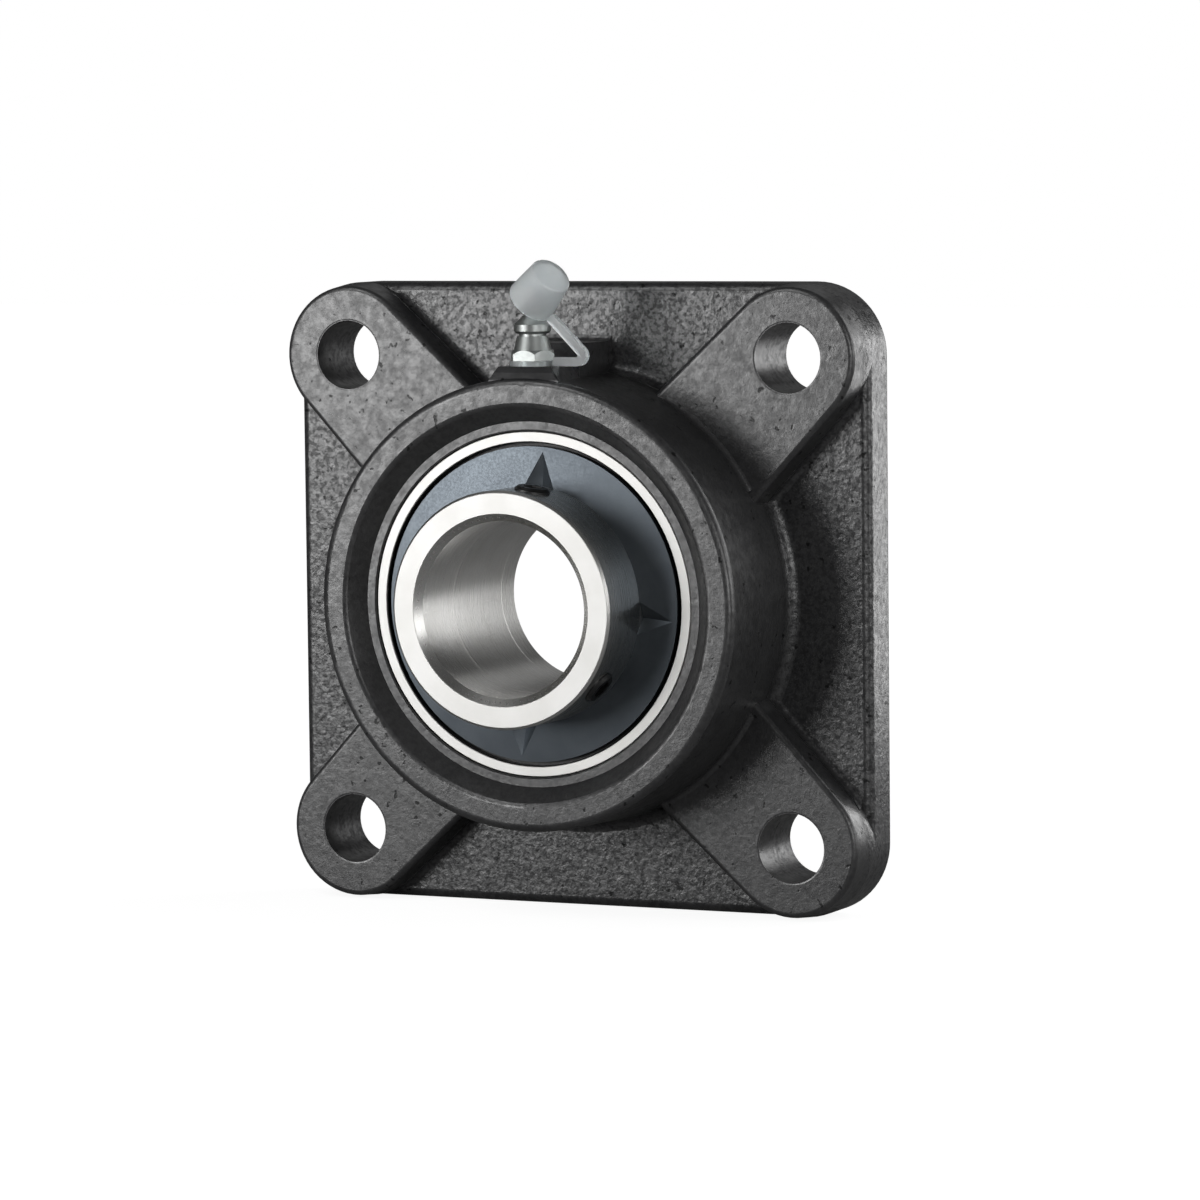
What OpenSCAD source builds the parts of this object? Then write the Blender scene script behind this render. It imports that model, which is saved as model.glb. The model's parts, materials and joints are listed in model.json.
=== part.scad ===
// Square four-bolt flange unit: a cast housing that carries a self-aligning ball bearing insert,
// with a wide inner ring held on its shaft by two set screws, and a capped grease nipple on top.
// The origin is the centre of the bolt pattern on the back face, the nose points along -Y, and
// +Z is up. Every piece is drawn on a plan of the back face: x to the right, y up, and z the
// distance from the back face towards the nose. upright() stands the plan up.

/* [Flange] */
// Side of the square flange
flange_w = 108; // [104:0.5:114]
// Distance between neighbouring bolt holes
bolt_pitch = 83; // [80:0.5:86]
// Diameter of the bolt holes
bolt_hole_d = 12; // [8:0.5:14]
// Thickness of the flange between the arms
web_t = 8; // [6:0.25:9]
// Thickness of the flange at the bolt bosses and along the arms
boss_t = 13.8; // [11:0.1:16]
// How far the sides of the arms lean in from the web up to their face
arm_draft = 0.5; // [0:0.1:1]
// Angle by which each side of an arm spreads towards the hub
arm_splay = 2.5; // [0:0.5:5]
// Rounding of the flange's outer edge
plate_edge_r = 1.6; // [0.5:0.1:2.5]
// Rounding of the raised edges of the arms and bosses
arm_edge_r = 1; // [0.3:0.1:1.5]
// Fillet where an arm meets the web
arm_fillet_r = 1.2; // [0.5:0.1:2]

/* [Hub] */
// Wall of the hub outside the spherical seat, at the rim
hub_wall = 7.5; // [6.5:0.1:9]
// How much wider the hub's radius is at the web than at the rim
hub_draft = 0.7; // [0:0.1:2]
// Height of the hub's rim over the back face
hub_h = 31; // [30:0.25:33]
// Rounding of the rim's outer edge
hub_edge_r = 1.4; // [0.5:0.1:2]
// Fillet where the hub meets the web
hub_fillet_r = 2.2; // [1:0.1:3.5]
// Fillet where the hub meets the arms
hub_arm_fillet_r = 1; // [0.4:0.1:2]
// Width of the rim, from the hub's wall to the recess
rim_w = 4.6; // [3:0.1:5.4]
// Rounding of the rim's inner edge
mouth_edge_r = 1.1; // [0.4:0.1:1.6]
// Width of the flat land round the spherical seat
land_w = 1.7; // [1:0.1:2.4]
// How far the land stands in front of the outer ring's face
land_gap = 0.4; // [0.1:0.05:0.8]
// Chamfer at the front edge of the spherical seat
seat_edge = 0.35; // [0.1:0.05:0.5]
// Height of the middle of the spherical seat over the back face
seat_h = 18; // [17.5:0.25:19]
// Radial room between the rear opening and the outer ring's edge
rear_room = 0.3; // [0.1:0.1:1]
// Chamfer round the rear opening
rear_chamfer = 0.8; // [0.3:0.1:1.5]
// Room round the outer ring in the two loading slots
slot_room = 0.25; // [0.1:0.05:0.6]

/* [Bearing rings] */
// Bore of the inner ring, which is the shaft's diameter
bore_d = 30; // [28:0.5:31]
// Height of the inner ring's shoulders over the bottom of its raceway
inner_rise = 1.93; // [1.6:0.01:2.2]
// Length of the inner ring
inner_w = 38.1; // [36:0.1:42]
// Distance from the raceways' plane to the inner ring's nose face
nose_l = 22.2; // [20.5:0.1:24]
// Chamfer at both ends of the bore
bore_chamfer = 1.3; // [0.4:0.1:1.6]
// Chamfer at the outside of the inner ring's ends
inner_edge = 0.45; // [0.2:0.05:0.8]
// Spherical outside diameter of the outer ring
outer_d = 62; // [61.6:0.1:62.4]
// Width of the outer ring
outer_w = 19; // [18.5:0.25:19.5]
// Chamfer at the edges of the outer ring's faces
outer_edge = 0.25; // [0.1:0.05:0.5]
// Height of the outer ring's shoulders over the bottom of its raceway
outer_rise = 2.18; // [1.8:0.01:2.4]
// Width of the outer ring's faces, outside the seals
ring_rim_w = 2; // [1.6:0.1:2.3]
// Distance from the raceway's plane to the outer ring's grease groove
lube_offset = 5.2; // [4.9:0.1:5.3]
// Width of the grease groove in the outer ring
lube_groove_w = 1.8; // [1:0.1:2.4]
// Diameter of the grease hole through the outer ring
lube_hole_d = 1.2; // [0.8:0.1:1.4]

/* [Balls and cage] */
// Number of balls
ball_count = 9; // [7:1:9]
// Diameter of a ball
ball_d = 9.525; // [9:0.125:9.6]
// How much larger the raceway grooves' radius is than the balls'
groove_ease = 0.19; // [0.1:0.01:0.24]
// Thickness of the cage's sheet
cage_t = 0.7; // [0.5:0.05:0.75]
// Radial room between the inner ring and the cage
cage_inner_room = 0.85; // [0.5:0.05:1.2]
// Radial room between the cage and the outer ring's shoulders
cage_outer_room = 0.6; // [0.4:0.05:1]
// Room round a ball in its pocket
pocket_room = 0.25; // [0.15:0.05:0.3]
// Diameter of a cage rivet
rivet_d = 1.5; // [1:0.1:1.8]
// Diameter of a rivet's head
rivet_head_d = 2.6; // [2:0.1:3]
// Height of a rivet's head
rivet_head_h = 0.6; // [0.4:0.1:0.8]

/* [Seals and slingers] */
// Room between the cage's cups and the seals
seal_room = 0.34; // [0.3:0.02:0.6]
// Sheet thickness of a seal's steel shell
shell_t = 0.6; // [0.4:0.05:0.8]
// Length of the shell's rim in the outer ring
shell_rim_l = 1.9; // [1.2:0.1:2]
// Radial width of the rubber inside the shell's bore
lip_w = 1.6; // [1.2:0.1:2]
// Thickness of the rubber on the shell's face
lip_t = 0.5; // [0.3:0.05:0.6]
// Radial width of the rubber on the shell's face
lip_cover_w = 1.4; // [0.8:0.1:2]
// Radial room between a slinger and the outer ring
slinger_room = 0.65; // [0.4:0.05:1.2]
// Sheet thickness of a slinger
slinger_t = 0.7; // [0.5:0.05:0.75]
// How far a slinger's face falls back towards its edge
slinger_cone = 0.7; // [0.2:0.1:0.8]
// Length of a slinger's collar on the inner ring
collar_l = 2; // [1:0.1:2.1]
// Gap between a slinger's turned-in edge and the rim of the seal's shell
slinger_lip_gap = 0.35; // [0.2:0.05:0.5]
// Number of dents pressed into a slinger
dent_count = 4; // [3:1:6]
// Clockwise angle of the first dent from the top
dent_angle = 5; // [0:1:30]
// Distance from a dent's tip to the slinger's edge
dent_margin = 0.8; // [0.5:0.1:2.5]
// Depth of a dent at the inner ring
dent_depth = 1.5; // [0.8:0.1:1.6]
// Width of a dent at the inner ring
dent_w = 5.5; // [3:0.1:6.5]
// Gap between the back of a dent and the seal
dent_gap = 0.65; // [0.3:0.05:1]

/* [Set screws] */
// Thread diameter of the set screws
screw_d = 6; // [5:0.5:6.5]
// Length of a set screw
screw_l = 5.5; // [5:0.1:7]
// Distance from the inner ring's nose face to the screws' axes
screw_inset = 5.9; // [4.5:0.1:6.5]
// Clockwise angle of the first screw from the top
screw_angle = 10; // [0:1:60]
// Angle between the two screws
screw_spread = 120; // [60:5:130]
// How far a screw's tip stands back from the bore
screw_tip_gap = 0.3; // [0.1:0.05:0.6]
// Radial clearance of a screw in its hole
screw_fit = 0.05; // [0.02:0.01:0.08]
// Width of the hexagon socket across its flats
socket_w = 3; // [2:0.5:3.5]
// Depth of the hexagon socket
socket_depth = 2.6; // [1.5:0.1:3]
// Width of the cup at a screw's tip
cup_d = 3; // [2:0.1:3.6]
// Depth of the cup at a screw's tip
cup_depth = 0.7; // [0.3:0.1:1]
// Chamfer at both ends of a set screw
screw_chamfer = 0.5; // [0.2:0.05:0.8]

/* [Grease nipple] */
// Height of the pad's top over the hub's rim
pad_rise = 1.9; // [1.6:0.1:3.5]
// Width of the pad's top
pad_w = 9.6; // [8:0.2:12]
// Lean of the pad's sides from the vertical
pad_lean = 35; // [10:1:45]
// Wall between the nipple's hole and the pad's front edge
pad_wall = 0.5; // [0.4:0.1:1]
// Lean of the pad's front back from the nose
pad_front_lean = 20; // [10:1:25]
// Width of the rib behind the pad
rib_w = 12.6; // [10:0.2:15]
// How far the rib rises over the pad
rib_rise = 3.6; // [2:0.1:6]
// Height of the rib's flat top over the web
rib_l = 9.5; // [5:0.5:10]
// Room between the rib's foot and the strap ring
rib_room = 1; // [0.5:0.1:2]
// Fillet where the rib meets the web
rib_fillet_r = 1.2; // [0.5:0.1:2]
// Distance from the rim's face back to the nipple's axis
nipple_inset = 4.9; // [4.6:0.1:6]
// Thread diameter of the nipple
nipple_thread_d = 6; // [5:0.25:6]
// Length of the nipple's thread
nipple_thread_l = 5.5; // [4:0.1:6]
// Clearance round the nipple's thread
thread_fit = 0.03; // [0.01:0.01:0.08]
// Width of the nipple's hexagon across its flats
hex_w = 7; // [6.5:0.25:8]
// Height of the nipple's hexagon
hex_h = 1.8; // [1.2:0.1:3]
// Diameter of the cone's foot on the hexagon
cone_foot_d = 6.4; // [5.5:0.1:6.9]
// Diameter of the cone's top under the neck
cone_top_d = 5.3; // [4.8:0.1:5.8]
// Height of the cone
cone_h = 2.3; // [1.5:0.1:3]
// Diameter of the neck
neck_d = 4.6; // [3.6:0.1:4.8]
// Height of the neck
neck_h = 0.45; // [0.3:0.05:1]
// Diameter of the head that the grease coupler grips
head_d = 6.3; // [5.4:0.1:6.5]
// Bevel under the head
head_bevel = 0.45; // [0.2:0.05:0.7]
// Length of the head's straight side
head_side_l = 1.1; // [0.6:0.1:1.5]
// Height of the cone from the head's side to its tip
head_cone_h = 1.6; // [1.2:0.1:2]
// Diameter of the head's flat tip
tip_d = 3; // [2.4:0.1:3.4]
// Diameter of the check ball in the nipple
check_ball_d = 1.8; // [1.4:0.1:2]
// Diameter of the grease inlet at the tip
inlet_d = 1.3; // [0.8:0.1:1.35]
// Thickness of the tip over the check ball
inlet_t = 0.15; // [0.1:0.05:0.3]
// Clearance of the check ball in its bore
check_fit = 0.05; // [0.02:0.01:0.1]
// Diameter of the grease passages
passage_d = 1.2; // [0.8:0.1:1.4]
// Number of turns of the check ball's spring
spring_turns = 8; // [4:1:10]
// Wire diameter of the check ball's spring
spring_wire_d = 0.22; // [0.15:0.01:0.3]

/* [Dust cap] */
// Diameter of the cap at its mouth
cap_mouth_d = 8.6; // [8:0.1:8.8]
// Diameter of the cap at its closed end
cap_end_d = 7.3; // [6:0.1:7.5]
// Length of the cap
cap_l = 6.8; // [6:0.1:9]
// Wall of the cap
cap_wall = 0.7; // [0.5:0.05:0.9]
// Rounding of the cap's closed end
cap_edge_r = 0.5; // [0.2:0.1:0.8]
// How far the middle of the cap's mouth lies over the nipple's tip
cap_lift = 2.4; // [2.3:0.1:3]
// Lean of the cap to the right of upright
cap_lean = 47.5; // [30:0.5:60]
// Turn of the cap out of the flange's plane, towards the nose
cap_tip = 19.3; // [0:0.5:30]
// Thickness of the strap
strap_t = 1.5; // [1:0.1:1.8]
// Width of the strap
strap_w = 1.6; // [1.2:0.1:2.4]
// Thickness of the strap's ring
strap_ring_t = 0.9; // [0.6:0.05:1.2]
// Outside diameter of the strap's ring
strap_ring_d = 8; // [7.6:0.1:9]
// Room between the hexagon's corners and the strap
hex_room = 0.15; // [0.1:0.05:0.4]
// Clearance of the strap's ring round the thread
strap_ring_fit = 0.1; // [0.05:0.05:0.3]
// Distance from the nipple's axis to the middle of the strap's bend
strap_reach = 8.4; // [8:0.1:12]
// Radius of the strap's bend on its inner side
strap_bend_r = 0.3; // [0.2:0.1:1]
// Gap between the strap's end and the cap
strap_gap = 0.2; // [0.1:0.05:0.3]

/* [Fits] */
// Radial clearance of the outer ring in its spherical seat
seat_fit = 0.03; // [0.02:0.01:0.05]
// Clearance of a ball in each raceway
ball_fit = 0.02; // [0.01:0.01:0.04]
// Clearance of a seal's lip round the inner ring
lip_fit = 0.05; // [0.03:0.01:0.1]

/* [Hidden] */
ball_names = [for (i = [1:ball_count]) str("ball_", i)];
$fn = 96;

paint = [0.13, 0.13, 0.13];
ground_steel = [0.86, 0.86, 0.84];
gunmetal = [0.3, 0.34, 0.38];
black_steel = [0.08, 0.08, 0.08];
cage_steel = [0.62, 0.58, 0.5];
zinc = [0.78, 0.8, 0.8];
rubber = [0.05, 0.05, 0.05];
shell_steel = [0.55, 0.55, 0.55];
frosted_plastic = [0.85, 0.88, 0.9];

// Overshoot of a cut past the face that it leaves, and depth that a joined piece is buried
cut = 1;
// Share of its radius by which the middle of a fillet's arc stands off each wall
fillet_bite = 0.995;
// Faces of the small round pieces
small_fn = 48;

corner_r = (flange_w - bolt_pitch) / 2;
arm_reach = bolt_pitch / sqrt(2);
arm_face_r = corner_r - arm_draft;

outer_r = outer_d / 2;
seat_r = outer_r + seat_fit;
ring_face_r = sqrt(pow(outer_r, 2) - pow(outer_w / 2, 2));
rear_bore_r = ring_face_r + rear_room;
bore_r = bore_d / 2;
tail_l = inner_w - nose_l;

// The balls run midway between the shaft and the spherical seat
pitch_r = (bore_r + outer_r) / 2;
ball_r = ball_d / 2;
ball_step = 360 / ball_count;
groove_r = ball_r + groove_ease;
outer_raceway_r = pitch_r + ball_r + ball_fit;
inner_raceway_r = pitch_r - ball_r - ball_fit;
shoulder_r = outer_raceway_r - outer_rise;
inner_r = inner_raceway_r + inner_rise;
pocket_r = ball_r + pocket_room;
cage_from = inner_r + cage_inner_room;
cage_to = shoulder_r - cage_outer_room;

hub_r = seat_r + hub_wall;
hub_base_r = hub_r + hub_draft;
arm_l = arm_reach - hub_r + 3 * cut;
mouth_r = hub_r - rim_w;
land_h = seat_h + outer_w / 2 + land_gap;
land_from = sqrt(pow(seat_r, 2) - pow(land_h - seat_h, 2));
land_to = land_from + land_w;
recess_slope = atan2(hub_h - land_h, mouth_r - land_to);

// Heights marked with s are measured from the plane through the raceways
seal_s = pocket_r + cage_t + seal_room;
seal_face_s = seal_s + shell_t + lip_t;
seal_bore_r = ring_face_r - ring_rim_w;
lip_bond_r = inner_r + lip_fit + lip_w;
slinger_r = seal_bore_r - slinger_room;
slinger_s = seal_face_s + dent_gap + slinger_t + dent_depth;
slinger_lip_s = seal_s + shell_rim_l + slinger_lip_gap;
dent_tip_r = slinger_r - dent_margin;
dent_l = dent_tip_r - inner_r;
slinger_fall = slinger_cone / (slinger_r - inner_r);
dent_tip_s = slinger_s - slinger_fall * dent_l;
dent_tilt = atan2(dent_tip_s - slinger_s + dent_depth, dent_l);
dent_slope = dent_w / 2 / dent_depth;

screw_s = nose_l - screw_inset;
screw_r = screw_d / 2;
screw_from = bore_r + screw_tip_gap;

lube_r = sqrt(pow(outer_r, 2) - pow(lube_offset, 2));
pad_top = hub_r + pad_rise;
nipple_h = hub_h - nipple_inset;
nipple_thread_r = nipple_thread_d / 2;
pad_front_h = nipple_h + nipple_thread_r + thread_fit + pad_wall;
rib_to = nipple_h - strap_ring_d / 2 - rib_room;
duct_from = [pad_top - nipple_thread_l, nipple_h];
duct_to = [lube_r, seat_h + lube_offset];
duct_l = norm(duct_to - duct_from) + cut;
duct_turn = atan2(duct_from[0] - duct_to[0], duct_to[1] - duct_from[1]);

hex_corner_r = hex_w / 2 / cos(30);
hex_z = strap_ring_t;
cone_z = hex_z + hex_h;
neck_z = cone_z + cone_h;
head_z = neck_z + neck_h;
head_side_z = head_z + head_bevel;
tip_z = head_side_z + head_side_l + head_cone_h;
check_r = check_ball_d / 2;
check_z = tip_z - inlet_t - sqrt(pow(check_r, 2) - pow(inlet_d / 2, 2)) - check_fit;
check_bore_r = check_r + check_fit;
spring_z = cone_z;

cap_mouth_r = cap_mouth_d / 2;
cap_end_r = cap_end_d / 2;
cap_pos = [0, pad_top + tip_z + cap_lift, nipple_h];
// The strap meets the cap's wall this far from the cap's mouth
strap_inset = strap_t / 2;
strap_mid_r = strap_bend_r + strap_t / 2;
cap_along = [sin(cap_lean), cos(cap_lean)] * cos(cap_tip);
cap_side = [cos(cap_lean), -sin(cap_lean)];
bend_at = [strap_reach, pad_top + strap_t + strap_bend_r];
strap_target = [cap_pos[0], cap_pos[1]] + cap_side * cap_mouth_r + cap_along * strap_inset;
strap_chord = strap_target - bend_at;
strap_limb_l = sqrt(pow(norm(strap_chord), 2) - pow(strap_mid_r, 2));
strap_turn = atan2(strap_chord[1], strap_chord[0]) + atan2(strap_mid_r, strap_limb_l);

// Stands the plan up: its y becomes +Z and its z becomes -Y
module upright() rotate([90, 0, 0]) children();

// Moves the plan's zero height to the plane through the raceways
module at_raceways() translate([0, 0, seat_h]) children();

// Front or rear side of the insert, from one drawing
module on_side(front) at_raceways() mirror([0, 0, front ? 0 : 1]) children();

// Turns clockwise from the top, as seen from the nose
module clockwise(angle) rotate(-angle) children();

// Puts a piece's z axis on the nipple's axis, with zero on the pad
module at_nipple() translate([0, pad_top, nipple_h]) rotate([-90, 0, 0]) children();

// Half section of a ring between two radii and two heights
module ring_section(r_in, r_out, from, to)
    translate([r_in, from]) square([r_out - r_in, to - from]);

// Takes a chamfer with legs of this size off a corner of a section
module corner_cut(corner, size)
    translate(corner) rotate(45) square(size * sqrt(2), center = true);

// Concave fillet in the corner at the origin, buried a little in both walls. It meets them at a
// slight angle, because an arc that only touches a wall leaves no clean edge on it.
module fillet(r) difference() {
    translate([-cut / 2, -cut / 2]) square(r + cut / 2);
    translate([r, r] * fillet_bite) circle(r);
}

// Half section of a slab whose outer front edge is rounded
module slab_section(half_w, t, r) {
    square([half_w - r, t]);
    square([half_w, t - r]);
    translate([half_w - r, t - r]) circle(r);
}

module flange_plate() {
    for (x = [-1, 1], y = [-1, 1])
        translate([x * bolt_pitch / 2, y * bolt_pitch / 2, 0])
            rotate_extrude() slab_section(corner_r, web_t, plate_edge_r);
    for (turn = [0, 90])
        rotate(turn) rotate([90, 0, 0])
            linear_extrude(bolt_pitch, center = true)
                for (side = [0, 1])
                    mirror([side, 0]) slab_section(flange_w / 2, web_t, plate_edge_r);
}

// Half section of an arm, which is also the bolt boss's when it is turned
module arm_section() {
    polygon([
        [0, 0],
        [corner_r, 0],
        [corner_r, web_t],
        [arm_face_r, boss_t - arm_edge_r],
        [0, boss_t - arm_edge_r]
    ]);
    square([arm_face_r - arm_edge_r, boss_t]);
    translate([arm_face_r - arm_edge_r, boss_t - arm_edge_r]) circle(arm_edge_r);
}

// Bolt boss at the end of an arm, with its fillet on the two sides where the web is flat
module bolt_boss() {
    flat = corner_r - plate_edge_r - arm_draft / 2;
    rotate_extrude() arm_section();
    intersection() {
        rotate_extrude() translate([corner_r, web_t]) fillet(arm_fillet_r);
        for (side = [0, 1])
            mirror([0, side, 0]) rotate(-45) translate([flat - flange_w, -flange_w, 0])
                cube([flange_w, flange_w, boss_t]);
    }
}

// One arm with its boss, pointing along x
module arm() translate([arm_reach, 0, 0]) {
    bolt_boss();
    for (side = [-1, 1])
        rotate(side * arm_splay) rotate([90, 0, -90])
            linear_extrude(arm_l) {
                for (half = [0, 1]) mirror([half, 0]) {
                    arm_section();
                    translate([corner_r, web_t]) fillet(arm_fillet_r);
                }
            }
}

module hub_section() {
    polygon([
        [0, 0],
        [hub_base_r, 0],
        [hub_base_r, web_t],
        [hub_r, hub_h - hub_edge_r],
        [0, hub_h - hub_edge_r]
    ]);
    square([hub_r - hub_edge_r, hub_h]);
    translate([hub_r - hub_edge_r, hub_h - hub_edge_r]) circle(hub_edge_r);
    translate([hub_base_r, web_t]) fillet(hub_fillet_r);
}

// Fillet between the hub's wall and the face of each arm
module hub_arm_fillets() {
    wall_r = hub_base_r - hub_draft * (boss_t - web_t) / (hub_h - hub_edge_r - web_t);
    half = arm_face_r - arm_edge_r;
    intersection() {
        rotate_extrude() translate([wall_r, boss_t]) fillet(hub_arm_fillet_r);
        for (turn = [45:90:315])
            rotate(turn) translate([0, -half, 0]) cube([arm_reach, 2 * half, hub_h]);
    }
}

// Flat pad that the nipple stands on, and the rib that runs back from it to the web
module nipple_pad() {
    foot = mouth_r + cut;
    foot_w = pad_w + 2 * (pad_top - foot) * tan(pad_lean);
    intersection() {
        translate([0, 0, web_t - cut])
            linear_extrude(hub_h - web_t)
                polygon([
                    [-foot_w / 2, foot],
                    [-pad_w / 2, pad_top],
                    [pad_w / 2, pad_top],
                    [foot_w / 2, foot]
                ]);
        translate([0, pad_top, pad_front_h]) rotate([-pad_front_lean, 0, 0])
            translate([-flange_w / 2, -flange_w / 2, -flange_w]) cube(flange_w);
    }
    rotate([0, -90, 0])
        linear_extrude(rib_w, center = true) {
            polygon([
                [web_t - cut, foot],
                [web_t - cut, pad_top + rib_rise],
                [web_t + rib_l, pad_top + rib_rise],
                [rib_to, pad_top],
                [rib_to, foot]
            ]);
            translate([web_t, pad_top + rib_rise]) fillet(rib_fillet_r);
        }
}

// Half section of the recess in the hub's face, with its rounded edge at the rim
module recess_section() {
    edge_l = mouth_edge_r * tan(recess_slope / 2);
    edge_c = [mouth_r + edge_l, hub_h - mouth_edge_r];
    difference() {
        polygon([
            [0, land_h],
            [land_to, land_h],
            [mouth_r, hub_h] - [cos(recess_slope), sin(recess_slope)] * edge_l,
            edge_c,
            [edge_c[0], hub_h + cut],
            [0, hub_h + cut]
        ]);
        translate(edge_c) circle(mouth_edge_r);
    }
}

// Room for the insert: the spherical seat, the recess in front and the opening behind
module bearing_cavity() {
    at_raceways() sphere(seat_r, $fn = 2 * $fn);
    translate([0, 0, -cut]) cylinder(seat_h + cut, r = rear_bore_r);
    rotate_extrude() corner_cut([rear_bore_r, 0], rear_chamfer);
    rotate_extrude() recess_section();
    rotate_extrude() corner_cut([land_from, land_h], seat_edge);
    // The insert goes in edgewise through these two slots, and then turns to face the nose
    intersection() {
        translate([0, 0, -cut]) cylinder(seat_h + cut, r = outer_r + slot_room);
        translate([0, 0, (seat_h - cut) / 2])
            cube([flange_w, outer_w + 2 * slot_room, seat_h + cut], center = true);
    }
}

// Tapped hole for the nipple and the duct from it to the outer ring's groove
module grease_way() {
    at_nipple() translate([0, 0, -nipple_thread_l - cut / 2])
        cylinder(nipple_thread_l + cut, r = nipple_thread_r + thread_fit, $fn = small_fn);
    translate([0, duct_from[0], duct_from[1]]) rotate([duct_turn, 0, 0])
        cylinder(duct_l, d = passage_d, $fn = small_fn);
}

module housing() color(paint) upright() difference() {
    union() {
        flange_plate();
        for (turn = [45:90:315]) rotate(turn) arm();
        rotate_extrude() hub_section();
        hub_arm_fillets();
        nipple_pad();
    }
    bearing_cavity();
    grease_way();
    for (x = [-1, 1], y = [-1, 1])
        translate([x * bolt_pitch / 2, y * bolt_pitch / 2, -cut])
            cylinder(boss_t + 2 * cut, d = bolt_hole_d);
}

// Outside of the nipple above its hexagon, with the groove under the head
module nipple_profile() polygon([
    [0, -nipple_thread_l],
    [nipple_thread_r, -nipple_thread_l],
    [nipple_thread_r, cone_z],
    [cone_foot_d / 2, cone_z],
    [cone_top_d / 2, neck_z],
    [neck_d / 2, neck_z],
    [neck_d / 2, head_z],
    [head_d / 2 - head_bevel, head_z],
    [head_d / 2, head_side_z],
    [head_d / 2, head_side_z + head_side_l],
    [tip_d / 2, tip_z],
    [0, tip_z]
]);

module grease_nipple() color(zinc) upright() at_nipple() difference() {
    union() {
        rotate_extrude($fn = small_fn) nipple_profile();
        intersection() {
            translate([0, 0, hex_z]) cylinder(hex_h, r = hex_corner_r, $fn = 6);
            translate([0, 0, hex_z])
                cylinder(hex_h, r1 = hex_corner_r + hex_h / 2, r2 = hex_w / 2, $fn = small_fn);
        }
    }
    translate([0, 0, -nipple_thread_l - cut])
        cylinder(tip_z + nipple_thread_l + 2 * cut, d = passage_d, $fn = small_fn);
    translate([0, 0, spring_z])
        cylinder(tip_z - inlet_t - spring_z, r = check_bore_r, $fn = small_fn);
    translate([0, 0, tip_z - inlet_t - cut]) cylinder(2 * cut, d = inlet_d, $fn = small_fn);
}

module nipple_ball() color(ground_steel) upright() at_nipple()
    translate([0, 0, check_z]) sphere(check_r, $fn = small_fn);

// Round wire swept along a helix that stands on the origin
module coil_spring(r, wire_r, height, turns) {
    sides = 8;
    steps = turns * 16;
    function at(i) = [for (k = [0:sides - 1])
        let (
            turn = 360 * turns * i / steps,
            out = r + wire_r * cos(360 * k / sides),
            rise = wire_r + (height - 2 * wire_r) * i / steps
        )
        [out * cos(turn), out * sin(turn), rise + wire_r * sin(360 * k / sides)]];
    points = [for (i = [0:steps]) each at(i)];
    walls = [for (i = [0:steps - 1], k = [0:sides - 1])
        let (a = i * sides + k, b = i * sides + (k + 1) % sides)
        [a, a + sides, b + sides, b]];
    first = [for (k = [0:sides - 1]) k];
    last = [for (k = [sides - 1:-1:0]) steps * sides + k];
    polyhedron(points, concat([first], walls, [last]));
}

module nipple_spring() color(ground_steel) upright() at_nipple()
    translate([0, 0, spring_z])
        coil_spring(
            check_bore_r - check_fit - spring_wire_d / 2,
            spring_wire_d / 2,
            check_z - check_r - spring_z,
            spring_turns
        );

module strap_ring() color(frosted_plastic) upright() at_nipple() difference() {
    cylinder(strap_ring_t, d = strap_ring_d, $fn = small_fn);
    translate([0, 0, -cut])
        cylinder(strap_ring_t + 2 * cut, r = nipple_thread_r + strap_ring_fit, $fn = small_fn);
}

// Side view of the strap: out from the ring, round the bend and up to the cap's wall
module strap_outline() {
    far = 2 * (strap_bend_r + strap_t);
    joint = strap_t / 20;
    translate([0, pad_top]) square([strap_reach + joint, strap_t]);
    translate(bend_at) intersection() {
        difference() {
            circle(strap_bend_r + strap_t, $fn = small_fn);
            circle(strap_bend_r, $fn = small_fn);
        }
        polygon(concat([[0, 0]], [for (i = [0:4])
            let (heading = strap_turn * i / 4) [sin(heading), -cos(heading)] * far]));
    }
    translate(bend_at) rotate(strap_turn)
        translate([-joint, -strap_bend_r - strap_t])
            square([strap_limb_l - strap_gap + joint, strap_t]);
}

module cap_strap() color(frosted_plastic) upright() difference() {
    translate([0, 0, nipple_h])
        linear_extrude(strap_w, center = true) strap_outline();
    at_nipple() translate([0, 0, -cut])
        cylinder(strap_t + 2 * cut, d = strap_ring_d, $fn = small_fn);
    at_nipple() translate([0, 0, hex_z])
        cylinder(strap_t, r = hex_corner_r + hex_room, $fn = small_fn);
}

// Half section of the cap, from its mouth up to its closed end
module cap_section() difference() {
    union() {
        polygon([
            [0, 0],
            [cap_mouth_r, 0],
            [cap_end_r, cap_l - cap_edge_r],
            [0, cap_l - cap_edge_r]
        ]);
        square([cap_end_r - cap_edge_r, cap_l]);
        translate([cap_end_r - cap_edge_r, cap_l - cap_edge_r]) circle(cap_edge_r);
    }
    polygon([
        [-cut, -cut],
        [cap_mouth_r - cap_wall, -cut],
        [cap_mouth_r - cap_wall, 0],
        [cap_end_r - cap_wall, cap_l - cap_wall],
        [-cut, cap_l - cap_wall]
    ]);
    translate([-cut, 0]) square([cut, cap_l]);
}

module dust_cap() color(frosted_plastic) upright()
    translate(cap_pos) rotate([0, 90 - cap_tip, 90 - cap_lean])
        rotate_extrude($fn = small_fn) cap_section();

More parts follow.
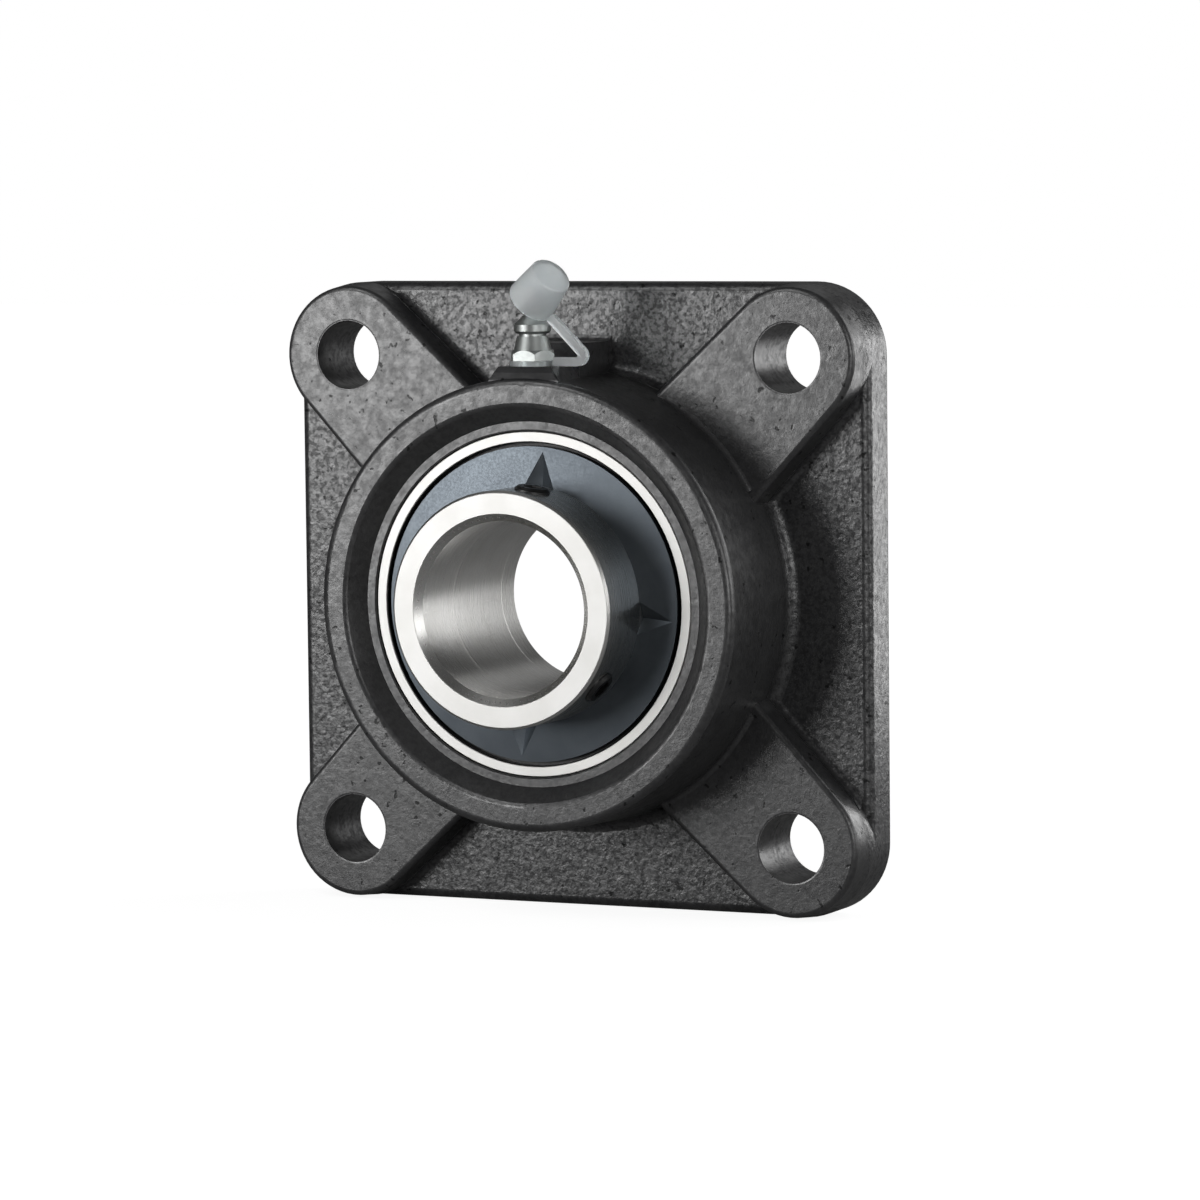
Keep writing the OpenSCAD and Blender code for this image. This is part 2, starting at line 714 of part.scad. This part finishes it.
module outer_ring() color(ground_steel) upright() at_raceways() difference() {
    rotate_extrude($fn = 2 * $fn) difference() {
        intersection() {
            circle(outer_r);
            ring_section(shoulder_r, outer_r + cut, -outer_w / 2, outer_w / 2);
        }
        translate([outer_raceway_r - groove_r, 0]) circle(groove_r);
        translate([lube_r, lube_offset]) circle(d = lube_groove_w, $fn = small_fn);
        for (side = [0, 1]) mirror([0, side]) {
            ring_section(0, seal_bore_r, seal_s, outer_w);
            corner_cut([seal_bore_r, outer_w / 2], outer_edge);
            corner_cut([ring_face_r, outer_w / 2], outer_edge);
        }
    }
    translate([0, 0, lube_offset]) rotate([-90, 0, 0])
        cylinder(outer_r, d = lube_hole_d, $fn = small_fn);
}

// Pressed steel shell that holds the rubber in the outer ring
module seal_shell(front) color(shell_steel) upright() on_side(front)
    rotate_extrude() {
        ring_section(lip_bond_r, seal_bore_r, seal_s, seal_s + shell_t);
        ring_section(seal_bore_r - shell_t, seal_bore_r, seal_s, seal_s + shell_rim_l);
    }

// Rubber bonded to the shell, with a lip that runs on the inner ring
module seal_lip(front) color(rubber) upright() on_side(front) {
    lip_r = inner_r + lip_fit;
    rotate_extrude() polygon([
        [lip_bond_r, seal_s],
        [lip_r + lip_w / 2, seal_s],
        [lip_r, seal_s + shell_t],
        [lip_r, seal_face_s - lip_t / 2],
        [lip_r + lip_w / 2, seal_face_s],
        [lip_bond_r + lip_cover_w, seal_face_s],
        [lip_bond_r + lip_cover_w, seal_s + shell_t],
        [lip_bond_r, seal_s + shell_t]
    ]);
}

// Disc pressed on the inner ring, without its dents
module slinger_blank() rotate_extrude() {
    polygon([
        [inner_r, slinger_s],
        [slinger_r, slinger_s - slinger_cone],
        [slinger_r, slinger_s - slinger_cone - slinger_t],
        [inner_r, slinger_s - slinger_t]
    ]);
    ring_section(inner_r, inner_r + slinger_t, slinger_s - collar_l, slinger_s - slinger_t);
    ring_section(
        slinger_r - slinger_t, slinger_r,
        slinger_lip_s, slinger_s - slinger_cone - slinger_t / 2
    );
}

// Wedges that deepen from their tips to the inner ring, lowered by the given amount
module dent_wedges(drop)
    for (i = [0:dent_count - 1])
        clockwise(dent_angle + 360 * i / dent_count)
            translate([0, dent_tip_r, dent_tip_s - drop])
                rotate([90 + dent_tilt, 0, 0])
                    linear_extrude(dent_l + cut)
                        polygon([[0, 0], [dent_slope, 1] * 3 * cut, [-dent_slope, 1] * 3 * cut]);

// Slinger with triangular dents: the sheet bulges behind each dent
module slinger(front) color(gunmetal) upright() on_side(front) difference() {
    union() {
        slinger_blank();
        intersection() {
            dent_wedges(slinger_t);
            rotate_extrude() polygon([
                [inner_r, slinger_s - dent_depth - 2 * slinger_t],
                [inner_r, slinger_s - slinger_t / 2],
                [dent_tip_r, dent_tip_s - slinger_t / 2],
                [dent_tip_r, slinger_s - dent_depth - 2 * slinger_t]
            ]);
        }
    }
    dent_wedges(0);
    cylinder(slinger_s + cut, r = inner_r);
}

module inner_ring() color(ground_steel) upright() at_raceways() difference() {
    rotate_extrude() difference() {
        ring_section(bore_r, inner_r, -tail_l, nose_l);
        translate([inner_raceway_r + groove_r, 0]) circle(groove_r);
        for (end = [-tail_l, nose_l]) {
            corner_cut([bore_r, end], bore_chamfer);
            corner_cut([inner_r, end], inner_edge);
        }
    }
    for (i = [0, 1])
        clockwise(screw_angle + i * screw_spread)
            translate([0, 0, screw_s]) rotate([-90, 0, 0])
                cylinder(inner_r + cut, r = screw_r + screw_fit, $fn = small_fn);
}

// Cup-point screw with a hexagon socket, its tip just clear of the bore
module set_screw(i) color(black_steel) upright() at_raceways()
    clockwise(screw_angle + i * screw_spread)
        translate([0, screw_from, screw_s]) rotate([-90, 0, 0])
            difference() {
                rotate_extrude($fn = small_fn) polygon([
                    [0, cup_depth],
                    [cup_d / 2, 0],
                    [screw_r - screw_chamfer, 0],
                    [screw_r, screw_chamfer],
                    [screw_r, screw_l - screw_chamfer],
                    [screw_r - screw_chamfer, screw_l],
                    [0, screw_l]
                ]);
                translate([0, 0, screw_l - socket_depth])
                    cylinder(socket_depth + cut, d = socket_w / cos(30), $fn = 6);
            }

// Places copies at each ball's angle, half a step off the top
module at_balls() for (i = [1:ball_count])
    clockwise(ball_step * (i - 0.5)) translate([0, pitch_r, 0]) children();

// Places copies between the balls, on the middle of the cage's band
module at_rivets() for (i = [1:ball_count])
    clockwise(ball_step * i) translate([0, (cage_from + cage_to) / 2, 0]) children();

// Half of the pressed cage: flats between the balls and a cup over each ball
module cage_half(front) color(cage_steel) upright() on_side(front) difference() {
    intersection() {
        rotate_extrude() ring_section(cage_from, cage_to, 0, pocket_r + cage_t);
        union() {
            cylinder(cage_t, r = cage_to + cut);
            at_balls() sphere(pocket_r + cage_t);
        }
    }
    at_balls() sphere(pocket_r);
    at_rivets() translate([0, 0, -cut]) cylinder(3 * cut, d = rivet_d, $fn = small_fn);
}

// Dome of the given diameter and height, standing on the plane z = 0
module dome(d, h) {
    r = (pow(d / 2, 2) + h * h) / (2 * h);
    intersection() {
        translate([0, 0, h - r]) sphere(r, $fn = small_fn);
        cylinder(h, d = d, $fn = small_fn);
    }
}

module cage_rivets() color(cage_steel) upright() at_raceways() at_rivets() {
    cylinder(2 * cage_t, d = rivet_d, center = true, $fn = small_fn);
    for (side = [0, 1])
        mirror([0, 0, side]) translate([0, 0, cage_t]) dome(rivet_head_d, rivet_head_h);
}

module ball(i) color(ground_steel) upright() at_raceways()
    clockwise(ball_step * (i - 0.5)) translate([0, pitch_r, 0]) sphere(ball_r);

housing();
grease_nipple();
nipple_spring();
nipple_ball();
strap_ring();
cap_strap();
dust_cap();
outer_ring();
seal_shell(true);  // seal_shell_front
seal_shell(false);  // seal_shell_rear
seal_lip(true);  // seal_lip_front
seal_lip(false);  // seal_lip_rear
inner_ring();
slinger(true);  // slinger_front
slinger(false);  // slinger_rear
set_screw(0);  // set_screw_1
set_screw(1);  // set_screw_2
cage_half(true);  // cage_front
cage_half(false);  // cage_rear
cage_rivets();
for (i = [1:ball_count])
    ball(i);
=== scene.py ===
"""Looks of a square four-bolt flange bearing unit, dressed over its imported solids.

Lengths are in metres in the solids' own frame: the origin is the middle of the bolt pattern on the
back face, the nose points along -Y, and +Z is up. Places and sizes in textures are in millimetres.
"""

import json
import math

import bpy
from mathutils import Matrix, Vector

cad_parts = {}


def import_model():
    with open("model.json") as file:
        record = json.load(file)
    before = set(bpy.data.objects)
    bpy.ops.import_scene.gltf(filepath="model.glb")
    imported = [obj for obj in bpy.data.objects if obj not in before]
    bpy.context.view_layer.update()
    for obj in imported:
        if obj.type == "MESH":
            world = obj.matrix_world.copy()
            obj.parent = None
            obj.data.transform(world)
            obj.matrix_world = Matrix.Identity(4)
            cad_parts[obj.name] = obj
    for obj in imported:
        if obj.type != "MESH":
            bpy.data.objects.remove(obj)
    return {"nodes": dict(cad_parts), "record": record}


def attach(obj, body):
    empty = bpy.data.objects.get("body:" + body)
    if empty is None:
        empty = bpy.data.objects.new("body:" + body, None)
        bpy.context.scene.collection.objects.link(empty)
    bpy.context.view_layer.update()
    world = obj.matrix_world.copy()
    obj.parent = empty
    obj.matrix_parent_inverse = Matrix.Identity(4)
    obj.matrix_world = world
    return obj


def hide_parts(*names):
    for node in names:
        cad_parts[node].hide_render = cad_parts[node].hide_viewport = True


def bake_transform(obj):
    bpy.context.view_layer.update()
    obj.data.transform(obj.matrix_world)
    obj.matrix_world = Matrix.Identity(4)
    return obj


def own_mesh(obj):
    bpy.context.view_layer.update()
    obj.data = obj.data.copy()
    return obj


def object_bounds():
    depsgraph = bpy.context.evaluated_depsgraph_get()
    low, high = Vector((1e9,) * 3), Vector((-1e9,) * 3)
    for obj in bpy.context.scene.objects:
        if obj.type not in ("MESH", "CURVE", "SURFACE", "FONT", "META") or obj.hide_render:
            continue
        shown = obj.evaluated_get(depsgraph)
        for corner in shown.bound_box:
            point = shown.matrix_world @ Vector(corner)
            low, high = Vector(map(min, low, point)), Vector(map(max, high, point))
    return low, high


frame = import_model()
cad_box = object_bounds()

MM = 0.001

# Camera: where it stands, where it looks and its lens, worked out from the photograph
CAMERA_AT = Vector((0.4061, -0.8779, 0.0798))
CAMERA_LOOK = Vector((-0.4184, 0.9044, -0.0837))
CAMERA_UP = Vector((-0.0251, 0.0806, 0.9964))
CAMERA_LENS = 167.34
SENSOR = 36.0
CLIP_START = 0.05
CLIP_END = 20

# Places and sizes on the part, in millimetres
SEAT_MIDDLE = (0, -18, 0)
SEAT_R = 31.03
BOLT_OFFSET = 41.5
BOLT_HOLE_R = 6
REAR_BORE_R = 29.81
REAR_BORE_FROM_Y = -12
REAR_BORE_TO_Y = -11
WEB_FROM_Y = -10.5
WEB_TO_Y = -8.6
HUB_WALL_R = 38.5
HUB_FOOT_Y = -14.5
RECESS_R = 33.6
PAD_FOOT_Z = 37.9
PAD_FRONT_Y = -29.2
NOSE_Y = -40.2
RING_HALF = 9.5
RING_EDGE_R = 26.2

# The floor: room under the part in millimetres, half its width in metres, and its grey
FLOOR_GAP = 0.05
FLOOR_HALF = 3.0
FLOOR_GREY = (0.3, 0.3, 0.3, 1)

# The floor's own brightness to the camera: from this distance, to this distance, from, to
FLOOR_GLOW = (0.1, 0.4, 0.9, 1.0)

# Brightness of the room that the part mirrors, apart from its lamps and its white backdrop
ROOM_LEVEL = 0.06
CEILING_LEVEL = 0.32

# What the part mirrors, in degrees to the right of the front and in degrees up: where each starts,
# where it is full, where that ends and where it is gone
BACKDROP_TURN = (90, 110, 130, 145)
BACKDROP_RISE = (-30, -5, 35, 55)
CEILING_TURN = (-181, -180, -160, -145)
CEILING_RISE = (18, 25, 40, 48)

# Lamps: name, place, what it points at, width, height and power in watts
MIDDLE = (-0.02, 0, 0.02)
RIGHT_SIDE = (0.05, 0, 0.02)
RIGHT_FACE = (0.054, 0, 0)
LAMPS = (
    ("front_left", (-0.375, -0.6, 0.08), MIDDLE, 0.3, 0.3, 2.2),
    ("high_left", (-0.22, -0.4, 0.5), MIDDLE, 0.3, 0.3, 0.8),
    ("front_right", (0.42, -0.42, 0.08), MIDDLE, 0.3, 0.2, 0.68),
    ("right", (0.6, 0.02, 0.085), MIDDLE, 0.22, 0.2, 0.45),
    ("right_back", (0.34, 0.26, 0.22), RIGHT_SIDE, 0.3, 0.3, 0.5),
    ("right_edge", (0.125, 0.14, 0.02), RIGHT_FACE, 0.05, 0.12, 0.085),
)

# The part of its 0 to 1 that a noise mostly fills
NOISE_LOW = 0.3
NOISE_HIGH = 0.7


def camera():
    data = bpy.data.cameras.new("camera")
    data.lens = CAMERA_LENS
    data.sensor_width = SENSOR
    data.sensor_fit = "HORIZONTAL"
    data.clip_start = CLIP_START
    data.clip_end = CLIP_END
    obj = bpy.data.objects.new("camera", data)
    bpy.context.scene.collection.objects.link(obj)
    back = -CAMERA_LOOK.normalized()
    right = CAMERA_UP.cross(back).normalized()
    up = back.cross(right)
    turned = Matrix((right, up, back)).transposed().to_4x4()
    obj.matrix_world = Matrix.Translation(CAMERA_AT) @ turned
    bpy.context.scene.camera = obj


def feed(tree, socket, value):
    """Links another node's output to a socket, or sets the socket's own value."""
    if isinstance(value, bpy.types.NodeSocket):
        tree.links.new(value, socket)
    elif socket.type == "RGBA" and len(value) == 3:
        socket.default_value = (*value, 1)
    else:
        socket.default_value = value


def add_node(tree, kind, inputs=None, out=0, **settings):
    """Adds a node with its settings and inputs, and returns one of its outputs."""
    node = tree.nodes.new(kind)
    for key, value in settings.items():
        setattr(node, key, value)
    for key, value in (inputs or {}).items():
        feed(tree, node.inputs[key], value)
    return node.outputs[out]


class Shader:
    """One node material. Texture coordinates are the solid's own, in millimetres."""

    def __init__(self, name, **sockets):
        self.material = bpy.data.materials.new(name)
        self.material.use_nodes = True
        self.tree = self.material.node_tree
        self.bsdf = self.tree.nodes["Principled BSDF"]
        self.set(**sockets)
        place = self.add("ShaderNodeTexCoord", out="Object")
        self.at = self.vector("SCALE", place, scale=1 / MM)

    def set(self, **sockets):
        """Sets or links the shader's sockets, named in lower case with underscores."""
        for socket in self.bsdf.inputs:
            key = socket.name.lower().replace(" ", "_")
            if key in sockets:
                feed(self.tree, socket, sockets[key])

    def add(self, kind, out=0, inputs=None, **settings):
        return add_node(self.tree, kind, inputs, out, **settings)

    def vector(self, operation, a, b=None, scale=None):
        inputs = {0: a}
        if b is not None:
            inputs[1] = b
        if scale is not None:
            inputs["Scale"] = scale
        out = "Value" if operation == "DISTANCE" else 0
        return self.add("ShaderNodeVectorMath", out=out, inputs=inputs, operation=operation)

    def math(self, operation, a, b=None, c=None):
        inputs = {i: v for i, v in enumerate((a, b, c)) if v is not None}
        return self.add("ShaderNodeMath", inputs=inputs, operation=operation)

    def both(self, a, b):
        return self.math("MULTIPLY", a, b)

    def most(self, a, b):
        return self.math("MAXIMUM", a, b)

    def axis(self, index):
        return self.add("ShaderNodeSeparateXYZ", out=index, inputs={0: self.at})

    def axis_distance(self):
        """Distance from the shaft's axis, in millimetres."""
        flat = self.vector("MULTIPLY", self.at, (1, 0, 1))
        return self.vector("DISTANCE", flat, (0, 0, 0))

    def noise(self, size, detail=2.0, rough=0.5):
        """Noise with features of about this many millimetres."""
        return self.add(
            "ShaderNodeTexNoise",
            inputs={"Vector": self.at, "Scale": 1 / size, "Detail": detail, "Roughness": rough},
        )

    def ramp(self, value, low, high, to_low=0.0, to_high=1.0):
        """Runs smoothly from to_low at low to to_high at high."""
        return self.add(
            "ShaderNodeMapRange",
            inputs={"Value": value, "From Min": low, "From Max": high,
                    "To Min": to_low, "To Max": to_high},
            interpolation_type="SMOOTHSTEP",
        )

    def spread(self, noise, low=0.0, high=1.0):
        """A noise stretched to run from low to high."""
        return self.ramp(noise, NOISE_LOW, NOISE_HIGH, low, high)

    def mix(self, factor, a, b):
        """Colour between a and b."""
        node = self.tree.nodes.new("ShaderNodeMix")
        node.data_type = "RGBA"
        for key, value in (("Factor_Float", factor), ("A_Color", a), ("B_Color", b)):
            socket = next(s for s in node.inputs if s.identifier == key)
            feed(self.tree, socket, value)
        return next(s for s in node.outputs if s.identifier == "Result_Color")

    def blend(self, factor, a, b):
        """Plain number between a and b."""
        return self.math("MULTIPLY_ADD", factor, self.math("SUBTRACT", b, a), a)

    def bump(self, height, depth):
        """Bump whose height of 0 to 1 stands for this many millimetres."""
        return self.add("ShaderNodeBump", inputs={"Height": height, "Distance": depth * MM})


def cast_paint():
    """Sand-cast iron under semi-gloss black paint, with the drilled and machined places smoother."""
    s = Shader("cast_paint")
    radius = s.axis_distance()
    along = s.axis(1)

    # Where the tools went: the bolt holes, the bearing's seat, the rear opening and the back
    mirrored = s.vector("ABSOLUTE", s.at)
    flat = s.vector("MULTIPLY", mirrored, (1, 0, 1))
    hole = s.vector("DISTANCE", flat, (BOLT_OFFSET, 0, BOLT_OFFSET))
    in_hole = s.ramp(hole, BOLT_HOLE_R + 0.3, BOLT_HOLE_R + 0.05)
    seat = s.ramp(s.vector("DISTANCE", s.at, SEAT_MIDDLE), SEAT_R + 0.12, SEAT_R + 0.04)
    bore = s.ramp(radius, REAR_BORE_R + 0.5, REAR_BORE_R + 0.1)
    bore = s.both(bore, s.ramp(along, REAR_BORE_FROM_Y, REAR_BORE_TO_Y))
    back = s.ramp(along, -0.25, -0.05)
    turned = s.most(s.most(seat, bore), back)
    smooth = s.most(turned, s.both(in_hole, 0.75))
    rough_part = s.math("SUBTRACT", 1.0, smooth)

    # The web is left as it came from the sand. The raised faces and the hub's wall are smoother
    web = s.ramp(along, WEB_FROM_Y, WEB_TO_Y)
    hub = s.ramp(radius, HUB_WALL_R - 0.6, HUB_WALL_R - 0.1)
    hub = s.both(hub, s.ramp(radius, HUB_WALL_R + 2.4, HUB_WALL_R + 1.4))
    hub = s.both(hub, s.ramp(along, HUB_FOOT_Y, HUB_FOOT_Y - 1.5))
    relief = s.both(s.blend(web, 0.45, 1.0), s.blend(hub, 1.0, 0.4))

    lumps = s.noise(2.4, detail=1.0, rough=0.4)
    grit = s.noise(0.75, detail=2.0, rough=0.6)
    specks = s.ramp(s.noise(0.9, detail=1.0, rough=0.6), 0.36, 0.58)
    # Nothing in a crater and one on the plain surface, and there are no craters in the recess
    craters = s.ramp(s.noise(1.7, detail=2.0, rough=0.6), 0.285, 0.35)
    craters = s.most(craters, s.ramp(radius, RECESS_R, RECESS_R - 0.4))
    height = s.math("MULTIPLY_ADD", lumps, 0.6, s.both(grit, 0.6))
    height = s.both(height, relief)
    height = s.math("MULTIPLY_ADD", craters, 0.12, height)
    height = s.both(height, rough_part)
    tool_marks = s.both(s.both(s.noise(0.16, detail=1.0), turned), 0.04)
    normal = s.bump(s.math("ADD", height, tool_marks), 0.13)

    paint = s.mix(s.spread(s.noise(9, detail=3)), (0.020, 0.020, 0.021), (0.030, 0.030, 0.031))
    # The craters are painted darker than the paint round them: painted shade inside the pits
    paint = s.mix(craters, (0.008, 0.008, 0.008), paint)
    iron = s.mix(s.noise(0.5), (0.07, 0.068, 0.066), (0.12, 0.118, 0.115))
    gloss = s.ramp(s.noise(1.6, detail=2), 0.3, 0.75, 0.3, 0.42)

    # The front of the nipple's pad is made dull as painted shade; the craters and the specks are
    # dull
    pad_painted_shade = s.both(
        s.ramp(s.axis(2), PAD_FOOT_Z, PAD_FOOT_Z + 0.4),
        s.ramp(along, PAD_FRONT_Y, PAD_FRONT_Y - 0.3),
    )
    shine = s.both(s.blend(pad_painted_shade, 1.0, 0.1), s.blend(craters, 0.35, 1.0))
    shine = s.both(shine, s.blend(specks, s.blend(web, 0.78, 0.42), 1.0))
    s.set(
        base_color=s.mix(turned, paint, iron),
        roughness=s.blend(turned, gloss, 0.42),
        specular_ior_level=shine,
        metallic=s.both(turned, 0.6),
        normal=normal,
    )
    return s.material


def ground_steel(name, low, high, marks=0.0012):
    """Ground bearing steel, duller on its end faces. The marks run round the shaft's axis."""
    s = Shader(name, metallic=1.0)
    radius = s.axis_distance()
    along = s.axis(1)
    from_middle = s.math("ABSOLUTE", s.math("SUBTRACT", along, SEAT_MIDDLE[1]))
    nose = s.math("COMPARE", along, NOSE_Y, 0.1)
    face = s.most(nose, s.math("COMPARE", from_middle, RING_HALF, 0.1))
    rings = s.add(
        "ShaderNodeTexNoise",
        inputs={"W": s.math("ADD", along, radius), "Scale": 9.0, "Detail": 3.0},
        noise_dimensions="1D",
    )
    # The outer ring's edges that face the slingers are painted near black: painted shade in the gap
    # there
    painted_shade_edge = s.both(
        s.ramp(radius, RING_EDGE_R, RING_EDGE_R + 0.2),
        s.ramp(from_middle, RING_HALF - 0.06, RING_HALF - 0.16),
    )
    unshaded_steel = s.mix(s.spread(s.noise(6, detail=3)), low, high)
    s.set(
        base_color=s.mix(painted_shade_edge, unshaded_steel, (0.06, 0.06, 0.06)),
        roughness=s.math("MULTIPLY_ADD", face, 0.24, s.spread(rings, 0.25, 0.29)),
        normal=s.bump(rings, marks),
    )
    return s.material


def gunmetal_sheet():
    """Pressed sheet with a blue-grey satin finish."""
    s = Shader("slinger_steel", metallic=1.0)
    cloud = s.spread(s.noise(7, detail=3))
    grain = s.noise(0.35, detail=2)
    s.set(
        base_color=s.mix(cloud, (0.095, 0.108, 0.122), (0.112, 0.127, 0.142)),
        roughness=s.spread(grain, 0.38, 0.46),
        normal=s.bump(grain, 0.008),
    )
    return s.material


def plain_metal(name, colour, gloss, depth=0.01):
    """Small turned, drawn or pressed pieces, in one tone with a fine grain."""
    s = Shader(name, metallic=1.0)
    grain = s.noise(0.3, detail=2)
    darker = tuple(c * 0.82 for c in colour)
    s.set(
        base_color=s.mix(s.spread(s.noise(3, detail=2)), darker, colour),
        roughness=s.spread(grain, gloss - 0.05, gloss + 0.05),
        normal=s.bump(grain, depth),
    )
    return s.material


def seal_rubber():
    """Matt black rubber."""
    s = Shader("seal_rubber", specular_ior_level=0.4)
    grain = s.noise(0.25, detail=2)
    s.set(
        base_color=s.mix(s.noise(2), (0.015, 0.015, 0.016), (0.028, 0.028, 0.03)),
        roughness=s.spread(grain, 0.5, 0.62),
        normal=s.bump(grain, 0.02),
    )
    return s.material


def frosted_plastic():
    """Milky moulded polyethylene that lets some light through."""
    s = Shader(
        "cap_plastic", ior=1.4, transmission_weight=0.82, subsurface_weight=0.5,
        subsurface_radius=(0.003, 0.003, 0.003), subsurface_scale=1.0,
    )
    cloud = s.noise(1.6, detail=2)
    s.set(
        base_color=s.mix(s.spread(cloud), (0.86, 0.9, 0.91), (0.91, 0.94, 0.95)),
        roughness=s.spread(s.noise(0.5, detail=2), 0.34, 0.46),
        normal=s.bump(cloud, 0.03),
    )
    return s.material


MATERIALS = {
    "cast_paint": cast_paint(),
    "ring_steel": ground_steel("ring_steel", (0.66, 0.655, 0.635), (0.71, 0.705, 0.69)),
    "slinger_steel": gunmetal_sheet(),
    # The seal shell's near-black colour is painted shade: it stands for the deep shade in the gap
    # behind the slinger
    "shell_steel": plain_metal("shell_steel", (0.06, 0.06, 0.06), 0.5),
    "seal_rubber": seal_rubber(),
    "cage_steel": plain_metal("cage_steel", (0.6, 0.57, 0.5), 0.35),
    "ball_steel": plain_metal("ball_steel", (0.82, 0.82, 0.82), 0.08, depth=0.001),
    "spring_steel": plain_metal("spring_steel", (0.55, 0.55, 0.54), 0.3),
    "zinc": plain_metal("zinc", (0.42, 0.44, 0.43), 0.42, depth=0.002),
    "screw_steel": plain_metal("screw_steel", (0.07, 0.07, 0.07), 0.4),
    "cap_plastic": frosted_plastic(),
}


def dress_nodes():
    """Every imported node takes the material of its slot."""
    for row in frame["record"]["subparts"]:
        mesh = frame["nodes"][row["node"]].data
        mesh.materials.clear()
        mesh.materials.append(MATERIALS[row["material_slot"]])


def soft_copy(node):
    """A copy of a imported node's shape, with its material, that can bend or shorten."""
    piece = bpy.data.objects.new(node + "_soft", frame["nodes"][node].data.copy())
    bpy.context.scene.collection.objects.link(piece)
    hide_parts(node)
    return piece


def soft_pieces():
    """Own copies of the strap and the spring in place of the imported ones; the spring's copy hangs
    on the housing's body.
    """
    strap = soft_copy("cap_strap")
    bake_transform(strap)

    spring = soft_copy("nipple_spring")
    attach(spring, "housing")
    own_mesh(spring)


def lights():
    for name, at, towards, width, height, power in LAMPS:
        data = bpy.data.lights.new(name, "AREA")
        data.shape = "RECTANGLE"
        data.size = width
        data.size_y = height
        data.energy = power
        obj = bpy.data.objects.new(name, data)
        bpy.context.scene.collection.objects.link(obj)
        obj.location = at
        obj.rotation_mode = "QUATERNION"
        obj.rotation_quaternion = (Vector(towards) - Vector(at)).to_track_quat("-Z", "Y")


def world():
    """White backdrop in a dark room.

    The camera and what shines through see the backdrop all round. What the part mirrors sees it
    behind on the right alone, and a grey ceiling high up behind on the left, because the part's
    upper faces mirror a dark room in the photograph.
    """
    scene = bpy.context.scene
    scene.world = bpy.data.worlds.new("studio")
    scene.world.use_nodes = True
    tree = scene.world.node_tree
    tree.nodes.clear()

    def math_node(operation, *values):
        return add_node(tree, "ShaderNodeMath", dict(enumerate(values)), operation=operation)

    def ramp(value, low, high, to_low, to_high):
        return add_node(
            tree, "ShaderNodeMapRange",
            {"Value": value, "From Min": low, "From Max": high,
             "To Min": to_low, "To Max": to_high},
            interpolation_type="SMOOTHSTEP",
        )

    def band(value, start, full, full_end, end):
        """One between full and full_end, falling to nothing at start and end."""
        return both(ramp(value, start, full, 0.0, 1.0), ramp(value, full_end, end, 1.0, 0.0))

    def both(a, b):
        return math_node("MULTIPLY", a, b)

    def most(a, b):
        return math_node("MAXIMUM", a, b)

    way = add_node(tree, "ShaderNodeTexCoord", out="Generated")
    x, y, z = (add_node(tree, "ShaderNodeSeparateXYZ", {0: way}, out=i) for i in range(3))
    # Degrees to the right of the front, and degrees up
    turn = both(math_node("ARCTAN2", x, both(y, -1.0)), math.degrees(1))
    rise = both(math_node("ARCSINE", z), math.degrees(1))
    backdrop = both(band(turn, *BACKDROP_TURN), band(rise, *BACKDROP_RISE))
    ceiling = both(band(turn, *CEILING_TURN), band(rise, *CEILING_RISE))
    ray = tree.nodes.new("ShaderNodeLightPath")
    white = most(ray.outputs["Is Camera Ray"], ray.outputs["Is Transmission Ray"])
    white = most(white, both(backdrop, ray.outputs["Is Glossy Ray"]))
    white = most(white, both(ceiling, CEILING_LEVEL))
    level = most(white, ROOM_LEVEL)
    background = add_node(tree, "ShaderNodeBackground", {"Color": (1, 1, 1, 1), "Strength": level})
    add_node_output(tree, "ShaderNodeOutputWorld", background)


def add_node_output(tree, kind, surface):
    output = tree.nodes.new(kind)
    tree.links.new(surface, output.inputs["Surface"])


def floor():
    """Pale floor under the part. It is white to the camera, and keeps the part's shadow."""
    half = FLOOR_HALF
    lowest = cad_box[0].z - FLOOR_GAP * MM
    around = ((-half, -half), (half, -half), (half, half), (-half, half))
    corners = [(x, y, lowest) for x, y in around]
    mesh = bpy.data.meshes.new("floor")
    mesh.from_pydata(corners, [], [(0, 1, 2, 3)])
    obj = bpy.data.objects.new("floor", mesh)
    bpy.context.scene.collection.objects.link(obj)

    material = bpy.data.materials.new("floor")
    material.use_nodes = True
    tree = material.node_tree
    tree.nodes.clear()
    matt = add_node(tree, "ShaderNodeBsdfDiffuse", {"Color": FLOOR_GREY})
    place = add_node(tree, "ShaderNodeTexCoord", out="Object")
    far = add_node(tree, "ShaderNodeVectorMath", {0: place}, out="Value", operation="LENGTH")
    spans = zip(("From Min", "From Max", "To Min", "To Max"), FLOOR_GLOW)
    glow = add_node(tree, "ShaderNodeMapRange", {"Value": far, **dict(spans)})
    white = add_node(tree, "ShaderNodeEmission", {"Strength": glow})
    both = add_node(tree, "ShaderNodeAddShader", {0: matt, 1: white})
    to_camera = add_node(tree, "ShaderNodeLightPath", out="Is Camera Ray")
    pick = add_node(tree, "ShaderNodeMixShader", {0: to_camera, 1: matt, 2: both})
    add_node_output(tree, "ShaderNodeOutputMaterial", pick)
    mesh.materials.append(material)


camera()
dress_nodes()
soft_pieces()
lights()
world()
floor()
bpy.context.scene.view_settings.view_transform = "Standard"
